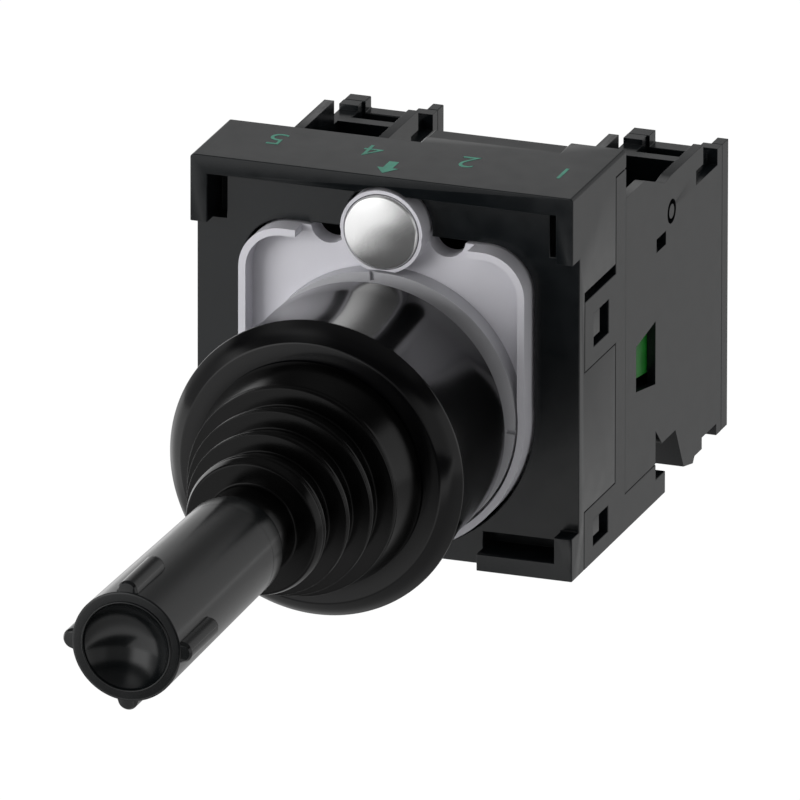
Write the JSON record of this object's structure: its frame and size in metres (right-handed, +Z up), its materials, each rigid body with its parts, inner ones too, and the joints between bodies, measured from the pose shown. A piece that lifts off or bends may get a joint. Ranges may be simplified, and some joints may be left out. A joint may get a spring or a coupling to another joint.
{
  "type": "industrial joystick",
  "caption": "Panel joystick with a booted lever tilting left and right, round collar, square holder and two contact modules.",
  "frame": {"origin": "centre of the 22 mm panel cut-out, on the panel's rear face", "axes": "+X to the user's right, +Y back through the panel along the lever's axis, +Z up"},
  "size_m": [0.04, 0.1195, 0.04],
  "materials": {
    "frame_plastic": "fine spark-eroded glass-filled polyamide, black grey",
    "bell_plastic": "polished black thermoplastic",
    "handle_plastic": "satin black thermoplastic",
    "boot_rubber": "moulded black rubber",
    "die_cast": "light grey enamelled zinc",
    "polished_steel": "polished steel",
    "plain_steel": "zinc plated steel",
    "copper_alloy": "silver tipped copper alloy",
    "plunger_green": "green thermoplastic",
    "inner_plastic": "natural acetal"
  },
  "bodies": {
    "switch": {"front_frame": "frame_plastic", "rear_frame": "frame_plastic", "clamp_plate": "die_cast", "locking_ring": "die_cast", "bell_housing": "bell_plastic", "mounting_collar": "bell_plastic", "panel_seal": "boot_rubber", "pivot_cage": "inner_plastic", "pivot_pin": "plain_steel", "bellows": "boot_rubber", "push_rod_guide": "inner_plastic", "centring_spring_left": "plain_steel", "centring_spring_right": "plain_steel", "return_spring_left": "plain_steel", "return_spring_right": "plain_steel", "fixed_contacts_left": "copper_alloy", "fixed_contacts_right": "copper_alloy", "terminal_screws_left": "plain_steel", "terminal_screws_right": "plain_steel", "clamp_washers_left": "plain_steel", "clamp_washers_right": "plain_steel", "module_housing_left": "frame_plastic", "module_housing_right": "frame_plastic", "rear_cap_left": "frame_plastic", "rear_cap_right": "frame_plastic"},
    "lever": {"handle": "handle_plastic", "lever_rod": "plain_steel", "rocker": "inner_plastic"},
    "pressure_disc": {"pressure_disc": "polished_steel"},
    "clamp_screw": {"clamp_screw": "plain_steel"},
    "push_rod_left": {"push_rod_left": "inner_plastic"},
    "plunger_left": {"plunger_left": "plunger_green", "contact_bridge_left": "copper_alloy"},
    "push_rod_right": {"push_rod_right": "inner_plastic"},
    "plunger_right": {"plunger_right": "plunger_green", "contact_bridge_right": "copper_alloy"}
  },
  "joints": [
    {"name": "lever_tilt", "type": "hinge", "parent": "switch", "child": "lever", "pos_m": [0, -0.013, 0], "axis": [0, 0, 1], "range_deg": [-14, 14], "stiffness_Nm_per_rad": 0.6, "deforming": ["bellows"]},
    {"name": "disc_advance", "type": "slide", "parent": "switch", "child": "pressure_disc", "axis": [0, -1, 0], "range_m": [-0.00035, 0.00175]},
    {"name": "screw_turn", "type": "hinge", "parent": "pressure_disc", "child": "clamp_screw", "pos_m": [0, 0.008, 0.0183], "axis": [0, -1, 0], "range_deg": [-181, 901]},
    {"name": "push_rod_left_slide", "type": "slide", "parent": "switch", "child": "push_rod_left", "axis": [0, 1, 0], "range_m": [-0.0017, 0.0017], "deforming": ["centring_spring_left"]},
    {"name": "plunger_left_slide", "type": "slide", "parent": "switch", "child": "plunger_left", "axis": [0, 1, 0], "range_m": [-0.0017, 0.0017], "deforming": ["return_spring_left"]},
    {"name": "push_rod_right_slide", "type": "slide", "parent": "switch", "child": "push_rod_right", "axis": [0, 1, 0], "range_m": [-0.0017, 0.0017], "deforming": ["centring_spring_right"]},
    {"name": "plunger_right_slide", "type": "slide", "parent": "switch", "child": "plunger_right", "axis": [0, 1, 0], "range_m": [-0.0017, 0.0017], "deforming": ["return_spring_right"]}
  ],
  "couplings": [
    {"joint": "screw_turn", "follows": "disc_advance", "rad_per_m": 8976},
    {"joint": "push_rod_left_slide", "follows": "lever_tilt", "m_per_rad": -0.006931},
    {"joint": "plunger_left_slide", "follows": "lever_tilt", "m_per_rad": -0.006931},
    {"joint": "push_rod_right_slide", "follows": "lever_tilt", "m_per_rad": 0.006931},
    {"joint": "plunger_right_slide", "follows": "lever_tilt", "m_per_rad": 0.006931}
  ]
}
